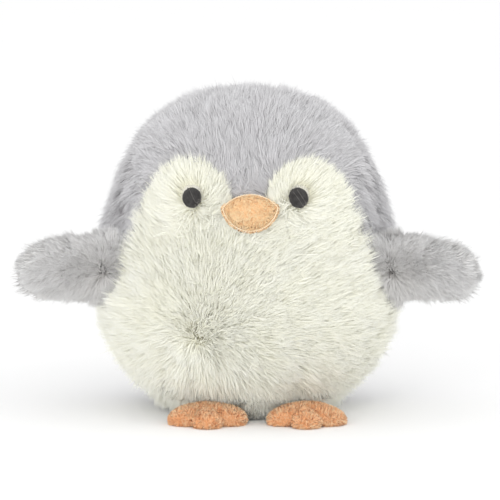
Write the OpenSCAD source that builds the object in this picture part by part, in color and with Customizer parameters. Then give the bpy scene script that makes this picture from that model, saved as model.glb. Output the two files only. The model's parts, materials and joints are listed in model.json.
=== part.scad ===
// Plush penguin: a round stuffed toy that sits upright on a flat bottom.
// Millimetres. +Z is up, the face looks along -Y, and the origin is the middle of the bottom.
// Fur panels are drawn as the cloth with its pile laid flat. Each panel shares its seams with its
// neighbours, and the stuffing inside is a separate solid.

/* [Body] */
// Width of the body at its waist, over the laid fur
body_w = 176; // [140:1:240]
// Depth of the body at its waist, from belly to back
body_d = 146; // [120:1:200]
// Height of the crown above the surface that the toy sits on
body_h = 195; // [160:1:260]
// Height of the waist, which is the widest level
waist_z = 70; // [58:1:85]
// Width of the flat bottom
base_w = 70; // [55:1:90]
// How square the shoulders are, where 2 is an ellipse
crown_power = 2.6; // [2:0.1:3.2]
// Thickness of a fur panel, cloth and laid pile together
fur_t = 6; // [4:0.5:8]
// Height of the pellet bag that weighs the bottom down
bag_h = 24; // [12:1:36]

/* [Seams] */
// Angle round from the face to the side seam, above the wings
seam_front = 64; // [55:1:75]
// Angle round from the face to the side seam, below the wings
seam_low = 102; // [90:1:112]
// How far below the crown the white face panel meets the side seam
cheek_drop = 98; // [85:1:110]
// How far below the crown the two white lobes over the eyes start
lobe_drop = 71; // [60:1:80]
// Height of the white lobes over the eyes
lobe_h = 32; // [20:1:38]
// Angle round from the middle of the face to the middle of a lobe
lobe_angle = 28.5; // [24:0.5:31]
// Angle that half a lobe covers
lobe_half = 21; // [16:0.5:23]

/* [Eyes] */
// Width of an embroidered eye
eye_w = 11.4; // [8:0.1:16]
// Thickness of the embroidery
eye_t = 1.2; // [0.8:0.1:2.5]
// Distance between the middles of the eyes
eye_spacing = 62; // [50:0.5:74]
// How far the pair of eyes sits to one side of the middle
eye_shift = -1.6; // [-4:0.1:4]
// How far below the crown the eyes are
eye_drop = 60.5; // [52:0.5:66]

/* [Beak] */
// Width of the beak
beak_w = 34; // [26:0.5:42]
// Height of the beak above the line through its two corners
beak_up = 8; // [5:0.5:11]
// Height of the beak below that line
beak_down = 14; // [10:0.5:18]
// How far the beak stands out from the fur
beak_out = 8; // [5:0.5:12]
// Thickness of the beak's cloth
beak_cloth_t = 1.2; // [0.8:0.1:2]
// Width of the edge stitching
stitch_w = 1.2; // [0.8:0.1:2]
// How far below the crown the beak's corners are
beak_drop = 66; // [60:0.5:74]
// How far the beak sits to one side of the middle
beak_shift = 1.4; // [-4:0.1:4]

/* [Wings] */
// Height of the middle of a wing's root
wing_z = 88; // [80:1:100]
// Length of a wing, from its root seam to its tip
wing_len = 45; // [34:1:60]
// Width of a wing beside the body
wing_root_w = 52; // [40:1:58]
// Width of a wing towards its tip, before the round
wing_tip_w = 36; // [26:1:46]
// Thickness of a wing at its middle, over the laid fur
wing_t = 24; // [18:1:28]
// Thickness of a wing's rim, where its two panels are sewn together
wing_rim_t = 8; // [6:0.5:10]
// Thickness of the wing's fur panels
wing_fur_t = 5; // [3.5:0.5:6]
// How far the left wing hangs down, in degrees
left_droop = 6; // [0:1:12]
// How far the right wing hangs down, in degrees
right_droop = 12; // [0:1:12]
// How far the wings turn towards the front, in degrees
wing_sweep = 10; // [0:1:20]
// How far the top edge of a wing leans towards the front, in degrees
wing_pitch = 25; // [10:1:35]
// Thickness of the unstuffed tab that joins a wing to its seam
tab_t = 3; // [2:0.5:4]
// Height of that tab
tab_h = 24; // [16:1:28]

/* [Feet] */
// Distance between the middles of the feet
foot_spacing = 58; // [50:1:64]
// How far the pair of feet sits to one side of the middle
foot_shift = 5.2; // [-6:0.1:6]
// Height of the belly over the back of the heel
heel_room = 10.5; // [8:0.5:16]
// Reach of a toe from the middle of the foot
toe_reach = 24; // [20:0.5:26]
// Reach of the heel from the middle of the foot
heel_reach = 14; // [11:0.5:16]
// Angle between one toe and the next
toe_angle = 65; // [55:1:70]
// Height of a foot
foot_h = 11; // [8:0.5:12]
// Thickness of the foot's cloth and pile
foot_cloth_t = 2.5; // [1.5:0.5:3.5]

/* [Label] */
// Width of the sewn-in label
label_w = 14; // [10:1:20]
// How far the label hangs out of the back seam
label_len = 16; // [10:1:24]
// Thickness of the folded label
label_t = 0.8; // [0.5:0.1:1.5]
// Height of the label's seam above the bottom
label_z = 38; // [30:1:50]

/* [Hidden] */
// Space left between a padding and the cloth round it
stuffing_gap = 0.4;
// Space left between the body's filling and its panels, whose facets cut in a little
fill_gap = body_w / 80;
// Space left between the label's fold and the seam it comes out of
label_gap = 0.3;
// Space left under a piece that is sewn onto the fur
sewn_gap = 0.1;
// Space left between the body and what moves beside it
body_gap = 0.7;
// Space left between a wing's tab and the wing
tab_gap = 5;
// How far out from its root a wing lifts and drops
flap_out = 7;
// Steps of the body panels: across the front, across one back panel, and down
front_steps = 44;
back_steps = 20;
face_rows = 12;
belly_rows = 16;
// Steps of the stuffing
fill_steps = 40;
fill_rows = 16;
// Corners of a wing's, a foot's and the beak's outline
wing_corners = 36;
foot_corners = 60;
beak_corners = 48;
// How square a wing's outline is, where 2 is an ellipse
wing_power = 2.8;

crown_h = body_h - waist_z;
// The lower half is part of an ellipse that the bottom cuts off at its own width
lower_h = waist_z / sqrt(1 - pow(base_w / body_w, 2));
lower_angle = asin(waist_z / lower_h);
depth_ratio = body_d / body_w;

lobe_z = body_h - lobe_drop;
cheek_z = body_h - cheek_drop;
eye_z = body_h - eye_drop;
beak_z = body_h - beak_drop;
// The side seam moves back round the body beside the lower part of the wing's root
seam_top_z = wing_z + 11;
seam_bottom_z = wing_z - 33;

cream = [0.93, 0.93, 0.87];
grey = [0.74, 0.74, 0.74];
orange = [0.93, 0.66, 0.42];
beak_orange = [0.98, 0.76, 0.56];
black = [0.13, 0.13, 0.13];
fibre = [0.97, 0.97, 0.95];

// ---- The body's surface ----

// The body's profile runs from the crown at 0, through the waist at 1, to the bottom at 2
function profile_z(t) = t < 1
    ? waist_z + crown_h * pow(cos(90 * t), 2 / crown_power)
    : waist_z - lower_h * sin((t - 1) * lower_angle);
function profile_r(t) = body_w / 2 * (t < 1
    ? pow(sin(90 * t), 2 / crown_power)
    : cos((t - 1) * lower_angle));
// The place on the profile that is at a height
function profile_t(z) = z > waist_z
    ? acos(pow((z - waist_z) / crown_h, crown_power / 2)) / 90
    : 1 + asin((waist_z - z) / lower_h) / lower_angle;
function radius_at(z) = profile_r(profile_t(z));

// A point of the surface, at an angle round from the face
function skin_point(angle, t) =
    [profile_r(t) * sin(angle), -depth_ratio * profile_r(t) * cos(angle), profile_z(t)];

// The same point moved in towards the middle of the body
function inset(p, d) = [
    p[0] * (1 - 2 * d / body_w),
    p[1] * (1 - 2 * d / body_d),
    waist_z + (p[2] - waist_z) * (1 - d / (p[2] > waist_z ? crown_h : lower_h))];

// Depth of the front of the body at a place across and up
function front_y(x, z) = -depth_ratio * sqrt(pow(radius_at(z), 2) - x * x);

// Outward direction of the front of the body there
function front_normal(x, z) =
    let (slope = (radius_at(z + 1) - radius_at(z - 1)) / 2,
         n = [x, front_y(x, z) / pow(depth_ratio, 2), -radius_at(z) * slope])
    n / norm(n);

function smooth_step(a) = let (s = min(1, max(0, a))) s * s * (3 - 2 * s);

// Angle of the side seam at a height
function seam_angle(z) = seam_front
    + (seam_low - seam_front) * smooth_step((seam_top_z - z) / (seam_top_z - seam_bottom_z));

// Height of the edge between the grey forehead and the white face, at an angle from the middle
function face_edge_z(angle) =
    let (a = abs(angle), off = abs(a - lobe_angle) / lobe_half, outer = lobe_angle + lobe_half)
    a < outer
        ? lobe_z + lobe_h * sqrt(max(0, 1 - off * off))
        : cheek_z + (lobe_z - cheek_z) * (1 - sqrt((a - outer) / (seam_front - outer)));

// ---- Grids of points for the panels, from the crown down and from the left round to the right ----

function edge_t(u) = profile_t(face_edge_z(u * seam_front));
function front_point(u, t) = skin_point(u * seam_angle(profile_z(t)), t);
function back_point(v, t, side) =
    let (seam = seam_angle(profile_z(t))) skin_point(side * (seam + v * (180 - seam)), t);

function front_u(c) = 2 * c / front_steps - 1;
function forehead_t(r, u) = edge_t(u) * r / face_rows;
function belly_t(r, u) = edge_t(u) + (2 - edge_t(u)) * r / belly_rows;

forehead_grid = [for (r = [0:face_rows])
    [for (c = [0:front_steps]) front_point(front_u(c), forehead_t(r, front_u(c)))]];
belly_grid = [for (r = [0:belly_rows])
    [for (c = [0:front_steps]) front_point(front_u(c), belly_t(r, front_u(c)))]];
// A back panel's rows meet the front panels' rows at the side seam
back_rows = concat([for (r = [0:face_rows]) forehead_t(r, 1)], [for (r = [1:belly_rows]) belly_t(r, 1)]);
back_grid_right = [for (t = back_rows) [for (c = [0:back_steps]) back_point(c / back_steps, t, 1)]];
back_grid_left = [for (t = back_rows) [for (c = [0:back_steps]) back_point(1 - c / back_steps, t, -1)]];

// ---- Shapes ----

// Two triangles for four corners, leaving out a triangle that has closed up
function triangles(q) = [for (f = [[q[0], q[1], q[2]], [q[0], q[2], q[3]]])
    if (f[0] != f[1] && f[1] != f[2] && f[2] != f[0]) f];

// A panel of even thickness over a grid of points. With a pole, its first row is one point.
module panel(grid, thick, pole = false) {
    rows = len(grid) - 1;
    cols = len(grid[0]) - 1;
    outer = [for (row = grid) each row];
    count = len(outer);
    function out(r, c) = pole && r == 0 ? 0 : r * (cols + 1) + c;
    function back(r, c) = count + out(r, c);
    corners = concat(
        [for (r = [0:rows - 1]) for (c = [0:cols - 1])
            [out(r, c), out(r, c + 1), out(r + 1, c + 1), out(r + 1, c)]],
        [for (r = [0:rows - 1]) for (c = [0:cols - 1])
            [back(r, c), back(r + 1, c), back(r + 1, c + 1), back(r, c + 1)]],
        pole ? [] : [for (c = [0:cols - 1]) [back(0, c), back(0, c + 1), out(0, c + 1), out(0, c)]],
        [for (c = [0:cols - 1]) [out(rows, c + 1), back(rows, c + 1), back(rows, c), out(rows, c)]],
        [for (r = [0:rows - 1]) [back(r, 0), out(r, 0), out(r + 1, 0), back(r + 1, 0)]],
        [for (r = [0:rows - 1]) [back(r, cols), back(r + 1, cols), out(r + 1, cols), out(r, cols)]]);
    polyhedron(concat(outer, [for (p = outer) inset(p, thick)]), [for (q = corners) each triangles(q)]);
}

// A closed solid from a stack of rings, with flat ends. A first ring of no size is a pole.
module stack(rings, pole = false) {
    last = len(rings) - 1;
    n = len(rings[0]);
    function at(r, c) = pole && r == 0 ? 0 : r * n + c % n;
    corners = [for (r = [0:last - 1]) for (c = [0:n - 1])
        [at(r, c), at(r, c + 1), at(r + 1, c + 1), at(r + 1, c)]];
    ends = concat(pole ? [] : [[for (c = [n - 1:-1:0]) at(0, c)]], [[for (c = [0:n - 1]) at(last, c)]]);
    polyhedron([for (ring = rings) each ring], concat([for (q = corners) each triangles(q)], ends));
}

// A domed solid over rings of one outline. Each ring gives its share of the outline, its low
// height and its high height, and the first ring is the middle. Place puts a point where it goes.
module dome(outline, rings, place = function (p) p) {
    n = len(outline);
    m = len(rings) - 1;
    function high(k, i) = 2 + (k - 1) * n + i % n;
    function low(k, i) = 2 + (m + k - 1) * n + i % n;
    function ring(k, level) = [for (p = outline) place([p[0] * rings[k][0], p[1] * rings[k][0], level])];
    corners = concat(
        [for (k = [1:m - 1]) for (i = [0:n - 1])
            [high(k, i + 1), high(k + 1, i + 1), high(k + 1, i), high(k, i)]],
        [for (i = [0:n - 1]) [high(m, i), high(m, i + 1), low(m, i + 1), low(m, i)]],
        [for (k = [1:m - 1]) for (i = [0:n - 1])
            [low(k, i), low(k + 1, i), low(k + 1, i + 1), low(k, i + 1)]]);
    polyhedron(
        concat([place([0, 0, rings[0][2]]), place([0, 0, rings[0][1]])],
            [for (k = [1:m]) each ring(k, rings[k][2])],
            [for (k = [1:m]) each ring(k, rings[k][1])]),
        concat([for (i = [0:n - 1]) [0, high(1, i + 1), high(1, i)]],
            [for (q = corners) each triangles(q)],
            [for (i = [0:n - 1]) [1, low(1, i), low(1, i + 1)]]));
}

// A closed band along an outline, between two shares of it
module band(outline, inner, outer, low, high, place) {
    n = len(outline);
    levels = [[inner, high], [outer, high], [outer, low], [inner, low]];
    corners = [for (k = [0:3]) for (i = [0:n - 1])
        [k * n + (i + 1) % n, (k + 1) % 4 * n + (i + 1) % n, (k + 1) % 4 * n + i, k * n + i]];
    polyhedron([for (l = levels) for (p = outline) place([p[0] * l[0], p[1] * l[0], l[1]])],
        [for (q = corners) each triangles(q)]);
}

// ---- Body ----

module face_belly_panel() color(cream) panel(belly_grid, fur_t);
module forehead_panel() color(grey) panel(forehead_grid, fur_t, pole = true);
module back_panel_left() color(grey) panel(back_grid_left, fur_t, pole = true);
module back_panel_right() color(grey) panel(back_grid_right, fur_t, pole = true);

// The bottom closes the last row of the panels, whose cut edges lie on its sloping rim
module base_panel() {
    front = belly_grid[belly_rows];
    right = back_grid_right[len(back_rows) - 1];
    left = back_grid_left[len(back_rows) - 1];
    ring = concat(front, [for (i = [1:back_steps]) right[i]], [for (i = [1:back_steps - 1]) left[i]]);
    color(cream) stack([[for (p = ring) inset(p, fur_t)], ring]);
}

fill_inset = fur_t + fill_gap;
function fill_ring(t) =
    [for (c = [0:fill_steps - 1]) inset(skin_point(360 * c / fill_steps, t), fill_inset)];
bag_t = profile_t(bag_h + fur_t);
fill_t = profile_t(bag_h + fur_t + fill_gap);

module body_stuffing()
    color(fibre) stack([for (r = [0:fill_rows]) fill_ring(fill_t * r / fill_rows)], pole = true);
module pellet_bag() {
    rows = 4;
    color("tan") stack([for (r = [0:rows]) fill_ring(bag_t + (2 - bag_t) * r / rows)]);
}

// ---- Face ----

// An embroidered disc with a rounded edge, flat on the fur
module eye(side) {
    x = eye_shift + side * eye_spacing / 2;
    n = front_normal(x, eye_z);
    edge = eye_t / 2;
    profile = [[0, 0], [eye_w / 2, 0], [eye_w / 2, edge], [eye_w / 2 - edge, eye_t], [0, eye_t]];
    color(black)
        translate([x, front_y(x, eye_z), eye_z] + sewn_gap * n)
            rotate([0, acos(n[2]), atan2(n[1], n[0])])
                rotate_extrude($fn = 48) polygon(profile);
}
module left_eye() eye(-1);
module right_eye() eye(1);

// The beak's outline is where two round discs overlap: a shallow arc above and a deep one below
function arc_radius(rise) = (pow(beak_w / 2, 2) + rise * rise) / (2 * rise);
// Distance from the middle of the corner line to a disc's edge, in one direction
function ray_to_disc(centre, r, dir) =
    let (along = centre * dir) along + sqrt(max(0, r * r - centre * centre + along * along));
function beak_ray(a) =
    let (dir = [cos(a), sin(a)], top = arc_radius(beak_up), bottom = arc_radius(beak_down))
    min(ray_to_disc([0, beak_up - top], top, dir), ray_to_disc([0, bottom - beak_down], bottom, dir));
beak_outline = [for (i = [0:beak_corners - 1])
    let (a = 360 * i / beak_corners) beak_ray(a) * [cos(a), sin(a)]];

// Puts a point of the flat beak onto the curve of the face
beak_normal = front_normal(beak_shift, beak_z);
on_face = function (p)
    let (x = beak_shift + p[0], z = beak_z + p[1])
    [x, front_y(x, z), z] + (p[2] + sewn_gap) * beak_normal;

// The beak's cloth lies flat in a hem along its edge, which the stitching runs along
beak_hem = 0.86;
function beak_rise(share) =
    (beak_out - beak_cloth_t) * sqrt(max(0, 1 - pow(share / beak_hem, 2)));

module beak_cover() {
    shares = [0, 0.2, 0.4, 0.58, 0.72, 0.81, beak_hem, 1];
    rings = [for (s = shares) [s, beak_rise(s), beak_rise(s) + beak_cloth_t]];
    color(beak_orange) dome(beak_outline, rings, on_face);
}
module beak_pad() {
    shares = [0, 0.2, 0.4, 0.58, 0.72, 0.81];
    rings = [for (s = shares) [s, 0, beak_rise(s) - stuffing_gap]];
    color(fibre) dome(beak_outline, rings, on_face);
}
module beak_stitching() {
    outer = 0.97;
    inner = outer - 2 * stitch_w / (beak_up + beak_down);
    low = beak_cloth_t + sewn_gap / 2;
    color(cream) band(beak_outline, inner, outer, low, low + stitch_w / 2, on_face);
}

// ---- Label ----

module care_label() {
    seam_y = depth_ratio * radius_at(label_z);
    slope = depth_ratio * (radius_at(label_z + 1) - radius_at(label_z - 1)) / 2;
    color("white")
        translate([0, seam_y, label_z])
            rotate([-atan(slope), 0, 0])
                translate([-label_t / 2, label_gap, -label_w / 2]) cube([label_t, label_len, label_w]);
}

// ---- Wings ----

// Room beside the body for the tab, whose round edge turns on the seam
tab_axis = body_gap + tab_t / 2 + 1;
tab_end = tab_axis + tab_t;
wing_start = tab_end + tab_gap;
// The line that the wing lifts and drops about
flap_axis = wing_start + flap_out;

function wing_half_w(share) = (wing_root_w * (1 - share) + wing_tip_w * share) / 2;
function power_cos(a) = sign(cos(a)) * pow(abs(cos(a)), 2 / wing_power);
function power_sin(a) = sign(sin(a)) * pow(abs(sin(a)), 2 / wing_power);
wing_outline = [for (i = [0:wing_corners - 1])
    let (a = 360 * i / wing_corners, along = power_cos(a))
    [wing_len / 2 * along, wing_half_w((along + 1) / 2) * power_sin(a)]];

// Half of the wing's thickness at a share of the way from its middle to its rim
function wing_rise(share) = wing_rim_t / 2 + (wing_t - wing_rim_t) / 2 * pow(1 - share * share, 0.6);
function wing_inside(share) = max(0, wing_rise(share) - wing_fur_t);

// Puts a wing's pieces at its root, on the side seam of one side
module at_wing(side) {
    root = skin_point(seam_angle(wing_z), profile_t(wing_z));
    mirror([side < 0 ? 1 : 0, 0, 0])
        translate(root) rotate([0, 0, -wing_sweep]) rotate([wing_pitch, 0, 0]) children();
}
// Hangs the wing down from its flap line and moves the drawing to the wing's middle
module at_blade(side)
    at_wing(side)
        translate([flap_axis, 0, 0])
            rotate([0, side < 0 ? left_droop : right_droop, 0])
                translate([wing_start + wing_len / 2 - flap_axis, 0, 0]) rotate([90, 0, 0]) children();

module wing_root(side)
    color(grey) at_wing(side) {
        translate([tab_axis, 0, -tab_h / 2]) cylinder(d = tab_t, h = tab_h, $fn = 32);
        translate([tab_axis, -tab_t / 2, -tab_h / 2]) cube([tab_end - tab_axis, tab_t, tab_h]);
    }
module wing_panel() {
    shares = [0, 0.3, 0.55, 0.75, 0.88, 0.96, 1];
    color(grey) dome(wing_outline, [for (s = shares) [s, wing_inside(s), wing_rise(s)]]);
}
module wing_stuffing(side) {
    shares = [0, 0.3, 0.55, 0.75, 0.86];
    fill = function (s) max(stuffing_gap / 2, wing_inside(s) - stuffing_gap);
    color(fibre) at_blade(side) dome(wing_outline, [for (s = shares) [s, -fill(s), fill(s)]]);
}
module wing_front(side) at_blade(side) wing_panel();
module wing_back(side) at_blade(side) mirror([0, 0, 1]) wing_panel();

module wing_root_left() wing_root(-1);
module wing_root_right() wing_root(1);
module wing_front_left() wing_front(-1);
module wing_front_right() wing_front(1);
module wing_back_left() wing_back(-1);
module wing_back_right() wing_back(1);
module wing_stuffing_left() wing_stuffing(-1);
module wing_stuffing_right() wing_stuffing(1);

// ---- Feet ----

// How much of a toe there is in a direction, from 1 along it to 0 beside it
toe_half = 38;
function toe_share(off) = abs(off) < toe_half ? pow(cos(90 * off / toe_half), 0.8) : 0;
function foot_ray(off) = heel_reach + (toe_reach - heel_reach)
    * max(toe_share(off), toe_share(off - toe_angle), toe_share(off + toe_angle));
// Angles are measured from straight ahead, which is -Y
foot_outline = [for (i = [0:foot_corners - 1])
    let (off = 360 * i / foot_corners - 180) foot_ray(off) * [sin(off), -cos(off)]];

foot_rim_t = foot_cloth_t + 1;
function foot_rise(share) = foot_rim_t + (foot_h - foot_rim_t) * sqrt(1 - share * share);

// The heel starts where the belly has risen far enough over it
heel_y = -depth_ratio * sqrt(pow(radius_at(heel_room), 2) - pow(foot_spacing / 2, 2));
module at_foot(side)
    translate([foot_shift + side * foot_spacing / 2, heel_y - heel_reach, 0]) children();

module foot_top(side) {
    shares = [0, 0.3, 0.55, 0.75, 0.9, 1];
    under = function (s) max(foot_cloth_t, foot_rise(s) - foot_cloth_t);
    color(orange) at_foot(side) dome(foot_outline, [for (s = shares) [s, under(s), foot_rise(s)]]);
}
module foot_sole(side)
    color(orange) at_foot(side) linear_extrude(foot_cloth_t) polygon(foot_outline);
module foot_stuffing(side) {
    shares = [0, 0.3, 0.55, 0.75, 0.86];
    low = foot_cloth_t + stuffing_gap;
    top = function (s) max(low + stuffing_gap, foot_rise(s) - foot_cloth_t - stuffing_gap);
    color(fibre) at_foot(side) dome(foot_outline, [for (s = shares) [s, low, top(s)]]);
}

module foot_top_left() foot_top(-1);
module foot_top_right() foot_top(1);
module foot_sole_left() foot_sole(-1);
module foot_sole_right() foot_sole(1);
module foot_stuffing_left() foot_stuffing(-1);
module foot_stuffing_right() foot_stuffing(1);

face_belly_panel();
forehead_panel();
back_panel_left();
back_panel_right();
base_panel();
body_stuffing();
pellet_bag();
left_eye();
right_eye();
beak_cover();
beak_pad();
beak_stitching();
care_label();
wing_root_left();
wing_front_left();
wing_back_left();
wing_stuffing_left();
wing_root_right();
wing_front_right();
wing_back_right();
wing_stuffing_right();
foot_top_left();
foot_sole_left();
foot_stuffing_left();
foot_top_right();
foot_sole_right();
foot_stuffing_right();
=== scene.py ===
# %% [markdown]
# # A plush penguin
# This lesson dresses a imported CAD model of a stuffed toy. The model says where every piece is and
# how it moves. The cells below give each piece its cloth, stuffing, embroidery and long soft fur.

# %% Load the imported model
import json
import math

import bmesh
import bpy
import numpy as np
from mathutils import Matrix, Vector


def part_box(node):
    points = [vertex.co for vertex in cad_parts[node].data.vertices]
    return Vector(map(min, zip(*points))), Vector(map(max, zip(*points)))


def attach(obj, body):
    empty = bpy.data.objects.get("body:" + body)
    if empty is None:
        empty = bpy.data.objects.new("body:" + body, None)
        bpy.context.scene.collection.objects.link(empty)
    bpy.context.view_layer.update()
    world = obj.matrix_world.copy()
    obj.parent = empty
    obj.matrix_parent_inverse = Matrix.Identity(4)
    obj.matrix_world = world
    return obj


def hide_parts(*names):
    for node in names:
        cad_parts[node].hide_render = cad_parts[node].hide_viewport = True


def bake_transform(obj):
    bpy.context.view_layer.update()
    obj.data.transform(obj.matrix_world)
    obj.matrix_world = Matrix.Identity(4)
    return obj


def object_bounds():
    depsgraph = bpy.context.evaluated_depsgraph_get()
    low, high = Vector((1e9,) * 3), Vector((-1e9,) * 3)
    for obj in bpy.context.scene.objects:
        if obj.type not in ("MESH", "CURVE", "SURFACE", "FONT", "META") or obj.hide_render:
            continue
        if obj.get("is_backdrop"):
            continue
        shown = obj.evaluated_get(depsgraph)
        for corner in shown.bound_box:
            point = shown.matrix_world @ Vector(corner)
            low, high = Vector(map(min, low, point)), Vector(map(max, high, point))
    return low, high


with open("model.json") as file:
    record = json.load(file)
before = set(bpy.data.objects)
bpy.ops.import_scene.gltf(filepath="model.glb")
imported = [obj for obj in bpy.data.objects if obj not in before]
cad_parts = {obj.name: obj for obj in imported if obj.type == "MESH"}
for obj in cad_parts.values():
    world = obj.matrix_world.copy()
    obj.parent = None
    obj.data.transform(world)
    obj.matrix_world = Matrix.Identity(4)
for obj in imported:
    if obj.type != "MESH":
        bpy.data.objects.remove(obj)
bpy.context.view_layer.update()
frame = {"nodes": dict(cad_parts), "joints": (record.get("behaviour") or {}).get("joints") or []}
MM = 0.001

# %% [markdown]
# Every size below comes from the model. A node's box gives its middle, and a joint gives the line
# that a wing or a foot turns about.

# %% Places on the toy
def boxes(nodes):
    """The lowest and highest corners of some nodes together."""
    return np.min([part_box(n)[0] for n in nodes], axis=0), np.max([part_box(n)[1] for n in nodes], axis=0)


def middle(*nodes):
    low, high = boxes(nodes)
    return (low + high) / 2


def joint(name):
    return next(j for j in frame["joints"] if j["name"] == name)


SIDES = {"left": -1, "right": 1}
PANELS = ["face_belly_panel", "forehead_panel", "back_panel_left", "back_panel_right", "base_panel"]
body_low, body_high = boxes(PANELS)
body_middle = (body_low + body_high) / 2
body_half = (body_high - body_low) / 2
crown_z = body_high[2]


def across_body(share):
    """A distance out from the middle, as a share of the body's half width."""
    return share * body_half[0]


def through_body(share):
    """A place along y: -1 is the front of the body and 1 its back."""
    return body_middle[1] + share * body_half[1]


def up_body(share):
    """A height, as a share of the body's."""
    return body_low[2] + share * (body_high[2] - body_low[2])


eyes = {side: middle(side + "_eye") for side in SIDES}
beak = middle("beak_cover")
print("crown at", round(crown_z / MM), "mm")

# %% [markdown]
# ## Camera, floor and light
# The toy is seen from the front and a little above, through a long lens that hardly narrows what
# is far away. A long lens is a narrow view from a long way off, so the camera goes back two metres
# and the lens is worked out from the width that it has to take in.

# %% Camera
VIEW_WIDE = 300 * MM
CAMERA_FAR = 2.2
CAMERA_UP = math.radians(8)
SENSOR = 36.0
look_at = np.array([1.2 * MM, 0, 95 * MM])
away = np.array([0, -math.cos(CAMERA_UP), math.sin(CAMERA_UP)])
bpy.ops.object.camera_add(location=look_at + away * CAMERA_FAR,
                          rotation=(math.pi / 2 - CAMERA_UP, 0, 0))
camera = bpy.context.object
camera.name = "camera"
camera.data.sensor_width = SENSOR
camera.data.lens = SENSOR * CAMERA_FAR / VIEW_WIDE
camera.data.clip_end = 20
bpy.context.scene.camera = camera
bpy.context.scene.view_settings.view_transform = "Standard"
print("lens", round(camera.data.lens), "mm")

# %% [markdown]
# White fur needs light from all round, because each fibre is lit by its neighbours too. A white
# world does most of that. A large soft lamp in front, a little up and to the left, gives the form,
# and a weaker one fills the other side.

# %% Floor and lights
def new_material(name, values):
    """A material whose shader has some plain values. Returns it, its node tree and the shader."""
    material = bpy.data.materials.new(name)
    material.use_nodes = True
    shader = material.node_tree.nodes["Principled BSDF"]
    for socket, value in values.items():
        shader.inputs[socket].default_value = value
    return material, material.node_tree, shader


FLOOR_WIDE = 12
bpy.ops.mesh.primitive_plane_add(size=FLOOR_WIDE, location=(0, 0, 0))
floor = bpy.context.object
floor.name = "floor"
pale_floor, _, _ = new_material("pale_floor", {"Base Color": (0.94, 0.94, 0.94, 1), "Roughness": 0.9})
floor.data.materials.append(pale_floor)
floor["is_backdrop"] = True

world = bpy.data.worlds.new("studio")
world.use_nodes = True
sky = world.node_tree.nodes["Background"]
sky.inputs["Color"].default_value = (1.0, 1.0, 1.0, 1)
sky.inputs["Strength"].default_value = 1.06
bpy.context.scene.world = world


LAMP_WIDE = 0.9


def soft_lamp(name, place, power):
    """An area lamp, turned to look at the middle of the toy."""
    bpy.ops.object.light_add(type="AREA", location=place)
    lamp = bpy.context.object
    lamp.name = name
    lamp.data.size = LAMP_WIDE
    lamp.data.energy = power
    direction = -lamp.location.copy()
    direction.z += crown_z / 2
    lamp.rotation_euler = direction.to_track_quat("-Z", "Y").to_euler()


soft_lamp("key_lamp", (-0.4, -1.5, 0.5), power=7)
soft_lamp("fill_lamp", (1.1, -0.7, 0.6), power=2)
print("floor and lights are in place")

# %% [markdown]
# ## Small helpers
# An operator works on whatever is selected, so each piece is selected alone before anything is
# done to it.

# %% Select, make and finish meshes
def select_only(piece):
    bpy.ops.object.select_all(action="DESELECT")
    piece.select_set(True)
    bpy.context.view_layer.objects.active = piece


def placed(name, data):
    """A new object that shows a mesh or a curve."""
    piece = bpy.data.objects.new(name, data)
    bpy.context.scene.collection.objects.link(piece)
    return piece


def new_piece(name, points, faces):
    mesh = bpy.data.meshes.new(name)
    mesh.from_pydata(np.asarray(points).tolist(), [], [list(map(int, f)) for f in faces])
    return placed(name, mesh)


def points_of(piece):
    points = np.zeros(len(piece.data.vertices) * 3, np.float32)
    piece.data.vertices.foreach_get("co", points)
    return points.reshape(-1, 3).astype(float)


def set_points(piece, points):
    piece.data.vertices.foreach_set("co", np.asarray(points, np.float32).ravel())
    piece.data.update()


def modify(piece, kind, **settings):
    """Adds a modifier, sets it and applies it."""
    select_only(piece)
    modifier = piece.modifiers.new(kind.lower(), kind)
    for name, value in settings.items():
        setattr(modifier, name, value)
    bpy.ops.object.modifier_apply(modifier=modifier.name)


def subdivide(piece, levels=1):
    modify(piece, "SUBSURF", levels=levels, render_levels=levels)


def smooth(piece):
    piece.data.polygons.foreach_set("use_smooth", np.ones(len(piece.data.polygons), bool))


def unit(v):
    return v / np.maximum(np.linalg.norm(v, axis=-1, keepdims=True), 1e-12)


def ramp(value, low, high):
    """Nothing up to low, one from high on, and a smooth step between."""
    s = np.clip((value - low) / (high - low), 0, 1)
    return s * s * (3 - 2 * s)


# %% [markdown]
# ## Stuffing a cloth skin
# A stuffed piece is a bag of cloth that its filling pushes out, while its seams hold it in. That is
# what Blender's Cloth does with pressure and a pinned vertex group. The move of each point is
# capped, so that no piece leaves the room that the model gives it. The moves printed below are
# small: under a millimetre on the body and next to nothing on the beak, wings and feet. Those get
# their round forms from the model's own shape, and the beak and feet from smoothing too.

# %% Copy nodes and blow up a bag
def joined_copy(name, nodes):
    """One mesh from copies of some nodes, with the points that lie on each other made one."""
    mesh = bmesh.new()
    for node in nodes:
        mesh.from_mesh(frame["nodes"][node].data)
    bmesh.ops.remove_doubles(mesh, verts=mesh.verts, dist=1e-6)
    data = bpy.data.meshes.new(name)
    mesh.to_mesh(data)
    mesh.free()
    return placed(name, data)


def remesh(piece, voxel):
    modify(piece, "REMESH", mode="VOXEL", voxel_size=voxel)


PRESSURE = 4.0
FRAMES = 20
LEAST_HOLD = 0.02


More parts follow.
